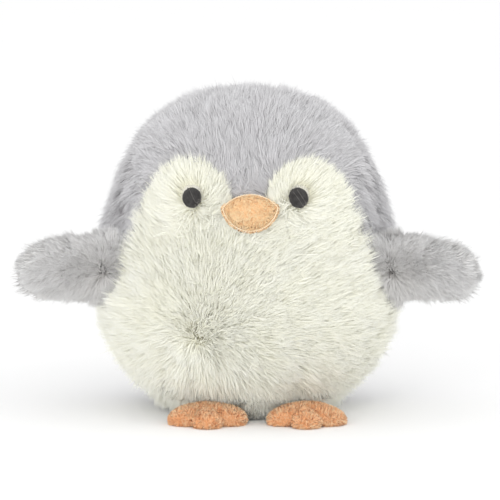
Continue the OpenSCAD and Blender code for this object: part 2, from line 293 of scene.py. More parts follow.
def blow_up(piece, held, cap):
    """Cloth under pressure. Held gives each point's hold from 0 to 1. Returns how the points moved."""
    before = points_of(piece)
    group = piece.vertex_groups.new(name="seams")
    hold = held(before)
    for index in np.flatnonzero(hold > LEAST_HOLD):
        group.add([int(index)], float(hold[index]), "REPLACE")
    select_only(piece)
    cloth = piece.modifiers.new("cloth", "CLOTH")
    cloth.settings.vertex_group_mass = "seams"
    cloth.settings.use_pressure = True
    cloth.settings.uniform_pressure_force = PRESSURE
    cloth.settings.effector_weights.gravity = 0
    cloth.point_cache.frame_start = 1
    cloth.point_cache.frame_end = FRAMES
    for number in range(1, FRAMES + 1):
        bpy.context.scene.frame_set(number)
    bpy.ops.object.modifier_apply(modifier=cloth.name)
    bpy.context.scene.frame_set(1)
    piece.vertex_groups.clear()
    move = points_of(piece) - before
    far = np.linalg.norm(move, axis=1, keepdims=True)
    move *= cap * np.tanh(far / cap) / np.maximum(far, 1e-9)
    set_points(piece, before + move)
    print(piece.name, "blew up by up to", round(float(far.max()) / MM, 1), "mm")
    return move


# %% [markdown]
# ## The skin that the fur grows from
# A fur panel is drawn in the model as the cloth with its pile laid flat. The fibres grow from the
# cloth underneath. So the outer faces of the panels are gathered into one skin, that skin is sunk
# by the depth of the pile, and every fibre starts there.

# %% Read the outer skin of some panels
def face_normals(points, faces):
    a, b, c = points[faces[:, 0]], points[faces[:, 1]], points[faces[:, 2]]
    return np.cross(b - a, c - a)


def smooth_normals(points, faces):
    normals = np.zeros_like(points)
    for corner in range(3):
        np.add.at(normals, faces[:, corner], face_normals(points, faces))
    return unit(normals)


def triangles_of(piece):
    mesh = bmesh.new()
    mesh.from_mesh(piece.data)
    bmesh.ops.triangulate(mesh, faces=mesh.faces)
    points = np.array([v.co for v in mesh.verts])
    faces = np.array([[v.index for v in f.verts] for f in mesh.faces])
    mesh.free()
    return points, faces


SAME_POINT = 0.02 * MM


def outer_skin(nodes, keep):
    """Points, smooth normals, triangles and each triangle's node, for the faces that keep accepts."""
    all_points, all_faces, owner, used = [], [], [], 0
    for i, node in enumerate(nodes):
        points, faces = triangles_of(frame["nodes"][node])
        chosen = faces[keep(points[faces].mean(1), unit(face_normals(points, faces)))]
        all_points.append(points)
        all_faces.append(chosen + used)
        owner.append(np.full(len(chosen), i))
        used += len(points)
    points, faces, owner = (np.concatenate(x) for x in (all_points, all_faces, owner))
    _, first, index = np.unique(np.round(points / SAME_POINT).astype(int), axis=0,
                                return_index=True, return_inverse=True)
    faces = index.reshape(-1)[faces]
    used, faces = np.unique(faces, return_inverse=True)
    points, faces = points[first][used], faces.reshape(-1, 3)
    whole = (faces[:, 0] != faces[:, 1]) & (faces[:, 1] != faces[:, 2]) & (faces[:, 2] != faces[:, 0])
    faces, owner = faces[whole], owner[whole]
    return points, smooth_normals(points, faces), faces, owner


OUTWARD = 0.6


def faces_out_of_body(centres, normals):
    """True for a face that looks out of the body, as its outer side does and its seams don't."""
    radial = unit((centres - body_middle) / body_half ** 2)
    return (normals * radial).sum(1) > OUTWARD


body_skin = outer_skin(PANELS, faces_out_of_body)
print("body skin:", len(body_skin[0]), "points,", len(body_skin[2]), "faces")

# %% [markdown]
# The body is blown up as one bag. The thread holds it in along every seam, and at the eyes, whose
# embroidery is pulled through to the inside. How the bag's points move is then given to the skin.
# The pile is deeper high on the toy, and the toy sits on it underneath, where it is pressed thin.

# %% Stuff the body
PILE_LOW, PILE_HIGH = 4.5 * MM, 7.5 * MM
SEAM_HOLD = 5.0 * MM
EYE_HOLD = 13.0 * MM
BODY_CAP = 3.0 * MM

UNDERNEATH = 0.25

points, normals, faces, owner = body_skin
pile_depth = PILE_LOW + (PILE_HIGH - PILE_LOW) * ramp(points[:, 2:3], 40 * MM, 160 * MM)
pressed = UNDERNEATH + (1 - UNDERNEATH) * ramp(points[:, 2:3], 0, 14 * MM)
points = points - normals * pile_depth * pressed
members = [np.unique(faces[owner == i]) for i in range(len(PANELS))]
times_used = np.bincount(np.concatenate(members), minlength=len(points))
seam_points = points[times_used > 1]


def nearest(points, others):
    return np.min(np.linalg.norm(points[:, None] - others[None], axis=2), axis=1)


def held_body(at):
    hold = np.exp(-(nearest(at, seam_points) / SEAM_HOLD) ** 2)
    for eye in eyes.values():
        hold = np.maximum(hold, np.exp(-(np.linalg.norm(at - eye, axis=1) / EYE_HOLD) ** 2))
    return hold


def carry(points, at, move, reach):
    """The move of nearby points, given to some others."""
    weight = np.exp(-(np.linalg.norm(points[:, None] - at[None], axis=2) / reach) ** 2)
    return weight @ move / np.maximum(weight.sum(1, keepdims=True), 1e-9)


BAG_VOXEL = 6 * MM
bag = new_piece("body_bag", points, faces)
remesh(bag, BAG_VOXEL)
bag_before = points_of(bag)
bag_move = blow_up(bag, held_body, BODY_CAP)
points = points + carry(points, bag_before, bag_move, BAG_VOXEL)
bpy.data.objects.remove(bag)
seam_points = points[times_used > 1]
cloth_skin = (points, smooth_normals(points, faces), faces, owner)
print("the stuffed skin is", np.round((points.max(0) - points.min(0)) / MM), "mm")

# %% [markdown]
# ## Growing fur
# Blender's own hair isn't kept when a model is exported, so each fibre here is a real strip of
# mesh: two corners at the root, two half way and one at the tip. Fur looks soft because its fibres
# aren't alike. They lie along the nap, stand up by different amounts, lean together in small
# locks, and differ a little in length and shade.

# %% Smooth random wobble
def wobble(points, size, seed, waves=10):
    """Three smooth random values at each point, which change over about size."""
    rng = np.random.default_rng(seed)
    total = np.zeros((len(points), 3))
    for _ in range(waves):
        direction = unit(rng.normal(size=3)) * rng.uniform(0.6, 1.4)
        phase = rng.uniform(0, 2 * math.pi, 3)
        total += np.sin((points @ direction * 2 * math.pi / size)[:, None] + phase)
    return total / math.sqrt(waves / 2)


# %% Scatter roots evenly by area
THIN = 1.0


def scatter(skin, owners, per_mm2, seed):
    """Random roots on some panels of a skin, with the skin's normal at each."""
    rng = np.random.default_rng(seed)
    points, normals, faces, owner = skin
    faces = faces[np.isin(owner, owners)]
    area = np.linalg.norm(face_normals(points, faces), axis=1) / 2
    count = int(area.sum() / MM ** 2 * per_mm2 * THIN)
    pick = rng.choice(len(faces), count, p=area / area.sum())
    u, v = rng.random((2, count, 1))
    flip = u + v > 1
    u, v = np.where(flip, 1 - u, u), np.where(flip, 1 - v, v)
    corners = faces[pick]

    def mix(values):
        return (values[corners[:, 0]] * (1 - u - v) + values[corners[:, 1]] * u
                + values[corners[:, 2]] * v)

    return mix(points), unit(mix(normals))


# %% [markdown]
# A fibre is placed by its root, the skin's normal there, the nap that it follows and its length. A
# lock is a small patch of fibres whose tips lean towards their common middle. The strip is turned
# so that its flat side looks away from the skin.

# %% Grow one piece of fur
LAID = 0.92


def column(value, n):
    return np.broadcast_to(value, n)[:, None]


def grow(name, roots, up, nap, length, material, seed, width=0.42 * MM, lift=(50, 26), lock=4.0 * MM,
         gather=0.32, mess=0.25, stand=0, dark=0, raised=0, roll=18, flat=None, floor_z=0.4 * MM,
         laid=LAID, swirl=9 * MM, spotty=0.13):
    rng = np.random.default_rng(seed)
    n = len(roots)
    width = width / math.sqrt(THIN)
    length = column(length, n) * rng.uniform(0.70, 1.15, (n, 1))
    length = length * (1 + 0.08 * wobble(roots, 13 * MM, seed + 1)[:, :1])
    stand, dark, raised, mess = (column(value, n) for value in (stand, dark, raised, mess))
    cell = np.floor(roots / lock + 0.3 * wobble(roots, 2.2 * lock, seed + 4)).astype(int)
    _, member = np.unique(cell, axis=0, return_inverse=True)
    member = member.reshape(-1)
    size = np.bincount(member)[:, None]
    nap = unit(nap) + mess * (0.7 * rng.normal(size=(n, 3)) + 0.6 * wobble(roots, swirl, seed + 2))
    nap = unit(nap - laid * (nap * up).sum(1, keepdims=True) * up)
    warp = raised + 5 * rng.normal(size=(len(size), 1))[member] + 9 * rng.normal(size=(n, 1))
    warp = np.where(rng.random((n, 1)) < 0.04, warp + 22, warp)
    angles = [np.radians(np.clip(a + warp + (86 - a) * stand, 2, 90)) for a in lift]
    first, second = (unit(nap * np.cos(a) + up * np.sin(a)) for a in angles)
    bend = roots + first * length * 0.5
    tip = bend + second * length * 0.5
    centre = np.stack([np.bincount(member, tip[:, k]) for k in range(3)], 1) / size
    pull = gather * rng.uniform(0.3, 1.0, (n, 1))
    bend = bend + (centre[member] - tip) * pull * 0.3
    tip = tip + (centre[member] - tip) * pull
    for part in (bend, tip):
        part[:, 2] = np.maximum(part[:, 2], floor_z)
    along = tip - roots
    facing = up if flat is None else flat
    turn = np.radians(roll * rng.normal(size=(n, 1)))
    across = unit(np.cross(along, facing))
    across = across * np.cos(turn) + np.cross(unit(along), across) * np.sin(turn)
    across *= width * rng.uniform(0.7, 1.3, (n, 1)) / 2
    corners = np.stack([roots - across, roots + across, bend - across * 0.85, bend + across * 0.85,
                        tip], 1)
    lean = unit(np.cross(np.cross(along, facing), along))
    shade_normal = np.repeat(unit(facing * 0.6 + lean * 0.4), 5, axis=0)
    lock_tint = rng.normal(size=len(size))[member]
    tint = np.clip(0.5 + 0.16 * wobble(roots, 24 * MM, seed + 5)[:, 0] + spotty * lock_tint, 0, 1)
    values = np.zeros((n, 5, 4), np.float32)
    values[:, :, 0] = rng.random((n, 1))
    # dark makes the way along smaller, so more of the fibre takes the darker root colour: painted shade
    values[:, :, 1] = np.array([0, 0, 0.5, 0.5, 1]) * (1 - dark)
    values[:, :, 2] = tint[:, None]
    values[:, :, 3] = 1
    return strips(name, corners, shade_normal, values, material)


# %% [markdown]
# The strips are written straight into a mesh, because half a million of them can't be
# added one by one. Each strip has a cell of its own in the UV map, so that a texture can be baked
# for it, and three values in an attribute: a random number, how far along the fibre a point is,
# and the tint of its lock. Where shade is painted, the way along is made smaller, so that more of
# the fibre takes the darker root colour.

# %% Write strips as a mesh
def strips(name, corners, normals, values, material):
    n = len(corners)
    mesh = bpy.data.meshes.new(name)
    mesh.vertices.add(n * 5)
    mesh.vertices.foreach_set("co", corners.astype(np.float32).ravel())
    first = np.arange(n)[:, None] * 5
    loops = (first + np.array([0, 1, 3, 2, 2, 3, 4])).ravel()
    mesh.loops.add(len(loops))
    mesh.loops.foreach_set("vertex_index", loops.astype(np.int32))
    starts = (np.arange(n)[:, None] * 7 + np.array([0, 4])).ravel()
    mesh.polygons.add(n * 2)
    mesh.polygons.foreach_set("loop_start", starts.astype(np.int32))
    mesh.update(calc_edges=True)
    side = math.ceil(math.sqrt(n))
    row, col = np.divmod(np.arange(n), side)
    cell_u = np.array([0.15, 0.85, 0.85, 0.15, 0.15, 0.85, 0.5])
    cell_v = np.array([0.1, 0.1, 0.5, 0.5, 0.5, 0.5, 0.9])
    uv = np.stack([(col[:, None] + cell_u) / side, (row[:, None] + cell_v) / side], -1)
    layer = mesh.uv_layers.new(name="OFBake")
    layer.data.foreach_set("uv", uv.astype(np.float32).ravel())
    strand = mesh.attributes.new("strand", "FLOAT_COLOR", "POINT")
    strand.data.foreach_set("color", values.ravel())
    mesh.polygons.foreach_set("use_smooth", np.ones(n * 2, bool))
    mesh.normals_split_custom_set_from_vertices(normals)
    mesh.materials.append(material)
    print(name, "has", n, "fibres")
    return placed(name, mesh)


# %% [markdown]
# ## Fur colours
# Faux fur is dyed fibre, and no two fibres match. Towards its root each fibre is painted darker and
# warmer: painted shade, for the light that doesn't reach down between the fibres. The furs share one
# node group that turns the attribute into a colour.

# %% Node group for fibre colour
def new_group(name, given, result):
    """A node group with named sockets. Returns it with what it is given and where its result goes."""
    group = bpy.data.node_groups.new(name, "ShaderNodeTree")
    for way, sockets in (("INPUT", given), ("OUTPUT", result)):
        for socket, kind in sockets.items():
            group.interface.new_socket(socket, in_out=way, socket_type="NodeSocket" + kind)
    return group, group.nodes.new("NodeGroupInput").outputs, group.nodes.new("NodeGroupOutput").inputs


def add_node(tree, kind, feeds, **settings):
    """Adds a node, sets it and feeds its inputs, each from another node's output or with a value."""
    node = tree.nodes.new(kind)
    for name, value in settings.items():
        setattr(node, name, value)
    for socket, feed in feeds.items():
        if isinstance(feed, bpy.types.NodeSocket):
            tree.links.new(feed, node.inputs[socket])
        else:
            node.inputs[socket].default_value = feed
    return node.outputs


def mixed(tree, share, first, second):
    feeds = {"Factor": share, "A": first, "B": second}
    return add_node(tree, "ShaderNodeMix", feeds, data_type="RGBA")["Result"]


def fibre_group():
    """The strand attribute holds, in this order, a random value, the way along and the lock's tint."""
    group, given, result = new_group("fibre_colour", {"Root": "Color", "Tip": "Color", "Patch": "Color",
                                                      "Spread": "Float"}, {"Color": "Color"})
    strand = add_node(group, "ShaderNodeAttribute", {}, attribute_name="strand")
    split = add_node(group, "ShaderNodeSeparateColor", {"Color": strand["Color"]})
    patch = mixed(group, split["Blue"], given["Patch"], given["Tip"])
    # towards the root the colour goes to Root, which is darker: painted shade between the fibres
    along = mixed(group, split["Green"], given["Root"], patch)
    centred = add_node(group, "ShaderNodeMath", {0: split["Red"], 1: 0.5}, operation="SUBTRACT")
    scaled = add_node(group, "ShaderNodeMath", {0: centred[0], 1: given["Spread"], 2: 1.0},
                      operation="MULTIPLY_ADD")
    shade = add_node(group, "ShaderNodeHueSaturation", {"Value": scaled[0], "Color": along})
    group.links.new(shade["Color"], result["Color"])
    return group


FIBRE = fibre_group()


def fibre_material(name, root, tip, patch, spread):
    material, tree, shader = new_material(name, {"Roughness": 0.75, "Sheen Weight": 0.3,
                                                 "Sheen Roughness": 0.4, "Specular IOR Level": 0.25})
    feeds = {"Root": (*root, 1), "Tip": (*tip, 1), "Patch": (*patch, 1), "Spread": spread}
    colour = add_node(tree, "ShaderNodeGroup", feeds, node_tree=FIBRE)
    tree.links.new(colour["Color"], shader.inputs["Base Color"])
    return material


# each fur's first colour is its root's, darker and warmer: painted shade between the fibres
white_fur = fibre_material("white_fur", (0.94, 0.92, 0.74), (0.96, 0.965, 0.92), (0.95, 0.95, 0.86),
                           spread=0.04)
grey_fur = fibre_material("grey_fur", (0.45, 0.43, 0.44), (0.77, 0.77, 0.78), (0.66, 0.66, 0.67),
                          spread=0.18)
wing_fur = fibre_material("wing_fur", (0.58, 0.56, 0.54), (0.90, 0.90, 0.90), (0.81, 0.81, 0.81),
                          spread=0.20)
print("fur materials are ready")

# %% [markdown]
# ## Cloth under the fur
# The pile is knitted into a thin backing cloth. It hardly shows, but where the fibres part it has
# to be there, in the same dye. Two shared node groups make its loops and its uneven dye.

# %% Node groups for cloth
def knit_group():
    """Waves that cross, for the loops of a knit or the threads of a weave."""
    group, given, result = new_group("knit_loops", {"Scale": "Float"}, {"Height": "Float"})
    place = add_node(group, "ShaderNodeTexCoord", {})
    feeds = {"Distortion": 0.6, "Vector": place["Object"], "Scale": given["Scale"]}
    waves = [add_node(group, "ShaderNodeTexWave", feeds, bands_direction=way)["Fac"] for way in ("X", "Z")]
    both = add_node(group, "ShaderNodeMath", dict(enumerate(waves)))
    group.links.new(both[0], result["Height"])
    return group


def mottle_group():
    """A colour that drifts between two dyes over patches of one size."""
    group, given, result = new_group("uneven_dye", {"Dark": "Color", "Light": "Color", "Scale": "Float"},
                                     {"Color": "Color", "Height": "Float"})
    place = add_node(group, "ShaderNodeTexCoord", {})
    noise = add_node(group, "ShaderNodeTexNoise", {"Detail": 4, "Vector": place["Object"],
                                                   "Scale": given["Scale"]})["Fac"]
    spread = add_node(group, "ShaderNodeMapRange", {"From Min": 0.35, "From Max": 0.65, "Value": noise})
    dye = mixed(group, spread["Result"], given["Dark"], given["Light"])
    group.links.new(dye, result["Color"])
    group.links.new(noise, result["Height"])
    return group


KNIT = knit_group()
MOTTLE = mottle_group()
KNIT_SCALE = 314


def cloth_material(name, dark, light, patch_mm=8, loop_mm=None, bump_mm=0.3, roughness=0.85, sheen=0.3):
    """Cloth with patches of dye. It has bumps of the same size as those, or loops if they are given."""
    material, tree, shader = new_material(name, {"Roughness": roughness, "Sheen Weight": sheen,
                                                 "Specular IOR Level": 0.3})
    feeds = {"Dark": (*dark, 1), "Light": (*light, 1), "Scale": 1000 / patch_mm}
    dye = add_node(tree, "ShaderNodeGroup", feeds, node_tree=MOTTLE)
    tree.links.new(dye["Color"], shader.inputs["Base Color"])
    height = dye["Height"]
    if loop_mm:
        height = add_node(tree, "ShaderNodeGroup", {"Scale": KNIT_SCALE / loop_mm}, node_tree=KNIT)["Height"]
    bump = add_node(tree, "ShaderNodeBump", {"Distance": bump_mm * MM, "Height": height})
    tree.links.new(bump["Normal"], shader.inputs["Normal"])
    return material


white_backing = cloth_material("white_backing", (0.86, 0.83, 0.70), (0.92, 0.90, 0.82), loop_mm=1.2)
grey_backing = cloth_material("grey_backing", (0.34, 0.33, 0.34), (0.44, 0.43, 0.44), loop_mm=1.2)
print("cloth materials are ready")

# %% [markdown]
# The body's cloth is cut from the stuffed skin: one piece for each panel, with its edges on the
# seams that it shares with its neighbours, and its thickness put on the inside.

# %% Cloth panels of the body
CLOTH_T = 0.8 * MM


def cloth_panel(name, skin, owners, node, body, material):
    points, _, faces, owner = skin
    used, index = np.unique(faces[np.isin(owner, owners)], return_inverse=True)
    piece = new_piece(name, points[used], index.reshape(-1, 3))
    subdivide(piece)
    modify(piece, "SOLIDIFY", thickness=CLOTH_T, offset=-1.0)
    smooth(piece)
    piece.data.materials.append(material)
    if node:
        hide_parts(*node)
    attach(piece, body)
    return piece


for number, panel in enumerate(PANELS):
    backing = white_backing if panel in ("face_belly_panel", "base_panel") else grey_backing
    cloth_panel(panel.replace("panel", "cloth"), cloth_skin, [number], [panel], "torso", backing)
print("five cloth panels meet at", len(seam_points), "points of their seams")

# %% [markdown]
# ## The nap on the body
# The nap is the way the fur lies. On the grey crown it runs up and outwards from the peak over the
# beak, on over the top of the head and down the back. Beside the face it hangs down. The white fur
# spreads from one whorl low on the left of the belly, and like a star round each eye, so that its
# tips lie over the edge of the grey.

# %% Nap of the body
DOWN = np.array([0, 0, -1.0])
ACROSS = np.array([1.0, 0, 0])
FORWARD = np.array([0, -1.0, 0])


def away_from(roots, point):
    """The way over the body that leads from a point. It is nearly nothing close to the point."""
    d = unit((roots - body_middle) / body_half)
    p = unit((point - body_middle) / body_half)
    return (d * (d @ p)[:, None] - p) * body_half / body_half.mean()


def near(points, centre, reach):
    return np.exp(-(np.linalg.norm(points - centre, axis=1) / reach) ** 2)


peak = beak + [0, 6 * MM, 8 * MM]
whorl = np.array([-across_body(0.398), through_body(-0.918), up_body(0.236)])


def grey_nap(roots, inward=0):
    beside = ramp(abs(roots[:, 0]), across_body(0.569), across_body(0.75))
    beside = np.maximum(beside, ramp(roots[:, 1], through_body(-0.274), through_body(0.137)))
    hang = 2.2 * beside * ramp(-roots[:, 2], -up_body(0.841), -up_body(0.718))
    flow = away_from(roots, peak)
    flow += hang[:, None] * (DOWN - 0.35 * inward * np.sign(roots[:, :1]) * ACROSS)
    for eye in eyes.values():
        above = near(roots, eye, 34 * MM) * ramp(roots[:, 2], eye[2] - 12 * MM, eye[2] + 4 * MM)
        flow += unit(roots - eye) * above[:, None] * 1.6
    return flow


def forehead_nap(roots):
    return grey_nap(roots, inward=1)


def white_nap(roots):
    flow = away_from(roots, whorl)
    flow += (0.8 * ramp(-roots[:, 2], -up_body(0.154), -up_body(0.026)))[:, None] * DOWN
    for eye in eyes.values():
        flow += unit(roots - eye) * near(roots, eye, 18 * MM)[:, None] * 2.5
    flow += unit(roots - beak) * near(roots, beak, 17 * MM)[:, None] * 1.6
    return flow


# %% [markdown]
# Fur is left off under the eyes and the beak, where the cloth is covered. Close to a seam the fibres
# on the two sides part and are shorter, and the eye looks down to their roots, so they are painted
# darker there: painted shade.

# %% Fur on the body
EYE_R = np.ptp(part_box("left_eye"), axis=0)[0] / 2
beak_half = np.ptp(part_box("beak_cover"), axis=0)[[0, 2]] / 2
ROUND_LENS = 1.6
UNDER_BEAK = 0.6


def bare(roots):
    """True where an eye or the beak covers the cloth."""
    covered = np.zeros(len(roots), bool)
    for eye in eyes.values():
        across = roots[:, [0, 2]] - eye[[0, 2]]
        covered |= (np.linalg.norm(across, axis=1) < EYE_R + 0.6 * MM) & (roots[:, 1] < 0)
    across = abs((roots[:, [0, 2]] - beak[[0, 2]]) / beak_half)
    lens = across[:, 0] ** ROUND_LENS + across[:, 1] ** ROUND_LENS
    return covered | ((lens < UNDER_BEAK) & (roots[:, 1] < 0))


def body_fur(name, panel, nap, material, seed, per_mm2, pile, side=None, **facts):
    roots, up = scatter(cloth_skin, [PANELS.index(panel)], per_mm2, seed)
    kept = ~bare(roots)
    if side is not None:
        kept &= side(roots)
    roots, up = roots[kept], up[kept]
    parting = np.exp(-(nearest_of(roots, side_seam) / (4.5 * MM)) ** 2)
    edge = np.exp(-(nearest_of(roots, face_edge) / (6 * MM)) ** 2)
    head = ramp(roots[:, 2], up_body(0.539), up_body(0.82))
    parting *= 1 - 0.7 * head
    # painted shade: near a seam the fibres take more of the darker root colour
    facts["dark"] = 0.5 * parting
    facts["raised"] = 6 - 18 * head
    swirl = near(roots, whorl, 24 * MM) * (material is white_fur)
    facts["stand"] = 0.15 * swirl
    length = pile * (1 - 0.45 * parting - 0.25 * edge - 0.1 * head)
    facts.setdefault("mess", 0.25 + 0.45 * swirl)
    piece = grow(name, roots, up, nap(roots), length, material, seed, **facts)
    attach(piece, "torso")
    return piece


def shared(first, second):
    return points[np.intersect1d(first, second)]


side_seam = np.concatenate([shared(members[a], members[b]) for a in (0, 1) for b in (2, 3)])
face_edge = shared(members[0], members[1])


def nearest_of(roots, line):
    return np.concatenate([nearest(part, line) for part in np.array_split(roots, 1 + len(roots) // 8000)])


GREY_PILE = 13 * MM
WAIST_Z = up_body(0.308)
SHOULDER_Z = up_body(0.513)
body_fur("forehead_fur", "forehead_panel", forehead_nap, grey_fur, 10, 6.0, GREY_PILE,
         lock=2.8 * MM, width=0.36 * MM)
body_fur("crown_tufts", "forehead_panel", forehead_nap, grey_fur, 13, 0.9, 18 * MM,
         side=lambda r: r[:, 2] > up_body(0.718), lock=6 * MM, gather=0.65, mess=0.5)
for side, sign in SIDES.items():
    for level, above in (("upper", 1), ("lower", -1)):
        body_fur(f"back_fur_{side}_{level}", f"back_panel_{side}", grey_nap, grey_fur, 20 + sign * 3 + above,
                 3.6, GREY_PILE, side=lambda r: (r[:, 2] - SHOULDER_Z) * above > 0, lock=3.6 * MM)
for level, above in (("upper", 1), ("lower", -1)):
    body_fur(f"face_fur_{level}", "face_belly_panel", white_nap, white_fur, 40 + above, 4.1, 12 * MM,
             side=lambda r: (r[:, 2] - WAIST_Z) * above > 0, lock=3.0 * MM, width=0.38 * MM)
body_fur("face_tufts", "face_belly_panel", white_nap, white_fur, 43, 0.4, 15.5 * MM, lock=6 * MM, gather=0.65,
         mess=0.45)


# %% [markdown]
# Low on the front the fur hangs over the back of the feet. These fibres are longer and droop, and
# the tips over a foot rest on it.

# %% Fringe over the feet
FRINGE_LOW, FRINGE_HIGH = up_body(0.041), up_body(0.123)
FOOT_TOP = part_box("foot_top_left")[1][2]


def in_fringe(roots):
    front = (roots[:, 1] < through_body(-0.41)) & (abs(roots[:, 0]) < across_body(0.637))
    return front & (roots[:, 2] < FRINGE_HIGH)


def foot_under(roots):
    """The height that tips rest on: a foot's top over a foot, or the floor."""
    height = np.full(len(roots), 1.5 * MM)
    for side in SIDES:
        low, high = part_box(f"foot_top_{side}")
        height[(roots[:, 0] > low[0]) & (roots[:, 0] < high[0])] = FOOT_TOP
    return height


roots, up = scatter(cloth_skin, [PANELS.index("face_belly_panel")], 3.0, 46)
kept = in_fringe(roots)
roots, up = roots[kept], up[kept]
high = ramp(roots[:, 2], FRINGE_LOW, FRINGE_HIGH)
droop = unit(roots * [1, 1, 0]) * (1 - 0.6 * high)[:, None] + 0.9 * DOWN
piece = grow("foot_fringe", roots, up, droop, 17 * MM * (1 - 0.35 * high), white_fur, 46, lift=(14, 2),
             lock=4 * MM, gather=0.3, laid=0, floor_z=foot_under(roots))
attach(piece, "torso")
body_fur("base_fur", "base_panel", white_nap, white_fur, 50, 3.0, 5 * MM, lift=(20, 6))

# %% [markdown]
# ## Wings
# A wing is a flat mitt, sewn into the side seam by its narrow root. Its own frame comes from its
# two joints: the line that it swings about runs along its root, and the line that it lifts about
# goes through it from front to back.

# %% Frame and skin of a wing
WING_SHRINK = np.array([0.80, 0.62, 0.62])
WING_BACK = 3.5 * MM


def wing_frame(side):
    swing, lift = joint(side + "_wing_swing"), joint(side + "_wing_lift")
    hinge, flap = np.array(swing["pos_m"]), np.array(lift["pos_m"])
    out = unit(flap - hinge)
    through = unit(np.array(lift["axis"])) * np.sign(-lift["axis"][1])
    return {"hinge": hinge, "flap": flap, "out": out, "through": through,
            "up": unit(np.cross(out, through)) * np.sign(np.cross(out, through)[2])}


def wing_skin(side, wing):
    nodes = [f"wing_front_{side}", f"wing_back_{side}"]
    centre = middle(*nodes)
    along = centre - wing["flap"]
    along = unit(along - (along @ wing["through"]) * wing["through"])
    axes = np.array([along, np.cross(wing["through"], along), wing["through"]])
    half = np.abs((np.concatenate([points_of(frame["nodes"][n]) for n in nodes]) - centre) @ axes.T).max(0)

    def keep(centres, normals):
        radial = unit(((centres - centre) @ axes.T) / half ** 2)
        return (radial * (normals @ axes.T)).sum(1) > 0.25

    points, _, faces, owner = outer_skin(nodes, keep)
    points = centre - axes[0] * WING_BACK + ((points - centre) @ axes.T * WING_SHRINK) @ axes
    return (points, smooth_normals(points, faces), faces, owner), centre, axes


# %% [markdown]
# The wing's bag is blown up with its rim held, so that it keeps the flat edge of a sewn mitt. Its
# fur spreads from the root like a fan: up along the top edge, out to the tip and down below.

# %% Stuff the wings and grow their fur
WING_VOXEL = 3.5 * MM
WING_CAP = 1.6 * MM
WING_PILE = 10.5 * MM
WING_DENSE = 10.0
RIM_OUTWARD = 0.5


def wing_nap(roots, wing):
    return unit(roots - wing["hinge"] - wing["out"] * 2 * MM) + 0.25 * wing["out"]


def wing_flat(roots, up, wing):
    """Where a strip's flat side looks: to the front or the back, but outwards for half of the rim."""
    ahead = np.sign((roots - wing["centre"]) @ wing["through"])[:, None] * wing["through"]
    rim = np.linalg.norm(np.cross(up, wing["through"]), axis=1)
    outward = np.random.default_rng(len(roots)).random(len(roots)) < RIM_OUTWARD * rim ** 2
    return np.where(outward[:, None], up, unit(0.25 * up + ahead))


wings = {}
for side, sign in SIDES.items():
    wing = wing_frame(side)
    skin, centre, axes = wing_skin(side, wing)
    wing["centre"], wing["axes"] = centre, axes
    points_w, _, faces_w, owner_w = skin
    bag = new_piece("wing_bag", points_w, faces_w)
    remesh(bag, WING_VOXEL)
    before = points_of(bag)

    def held_rim(at):
        local = (at - centre) @ axes.T
        return np.exp(-(local[:, 2] / (1.5 * MM)) ** 2)

    move = blow_up(bag, held_rim, WING_CAP)
    points_w = points_w + carry(points_w, before, move, WING_VOXEL)
    bpy.data.objects.remove(bag)
    skin = (points_w, smooth_normals(points_w, faces_w), faces_w, owner_w)
    for number, face in enumerate(("front", "back")):
        cloth_panel(f"wing_{face}_cloth_{side}", skin, [number], [f"wing_{face}_{side}"], f"{side}_wing",
                    grey_backing)
    roots, up = scatter(skin, [0, 1], WING_DENSE, 60 + sign)
    # painted shade near the hinge, where the wing meets the body: fibres there take more of the darker root
    # colour
    painted_wing_root_shade = 0.3 * near(roots, wing["hinge"] + wing["out"] * 6 * MM + wing["through"] * 6 * MM, 15 * MM)
    rim = np.linalg.norm(up - (up @ wing["through"])[:, None] * wing["through"], axis=1)
    piece = grow(f"wing_fur_{side}", roots, up, wing_nap(roots, wing), WING_PILE * (1 - 0.3 * rim ** 2),
                 wing_fur, 60 + sign, lock=2.6 * MM, gather=0.28, mess=0.4, width=0.38 * MM, dark=painted_wing_root_shade,
                 flat=wing_flat(roots, up, wing), laid=0.5)
    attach(piece, f"{side}_wing")
    tufts = scatter(skin, [0, 1], 0.9, 64 + sign)
    piece = grow(f"wing_tufts_{side}", *tufts, wing_nap(tufts[0], wing), WING_PILE * 1.25, wing_fur,
                 64 + sign, lock=5 * MM, gather=0.7, mess=0.45, flat=wing_flat(*tufts, wing), laid=0.5)
    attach(piece, f"{side}_wing")
    wings[side] = wing

# %% [markdown]
# Between the body and the mitt the wing is a soft sleeve. It has to bend at both joints, and a
# piece can bend at one, so the sleeve is made in two lengths that meet on the part between the
# joints. A ring is extruded outwards step by step, as by hand, and scaled as it goes. The steps are
# in millimetres from the seam, which is a little way in from the hinge.

# %% Sleeves between body and wings
SLEEVE_STEPS = [(-8, 18, 8.0), (-2, 18, 7.0), (3, 17, 6.0), (7, 16.5, 5.5), (11, 16, 5.5), (15, 15.5, 5.5),
                (19, 15, 5.5)]
SPLIT = 3
SEAM_IN = 3.2


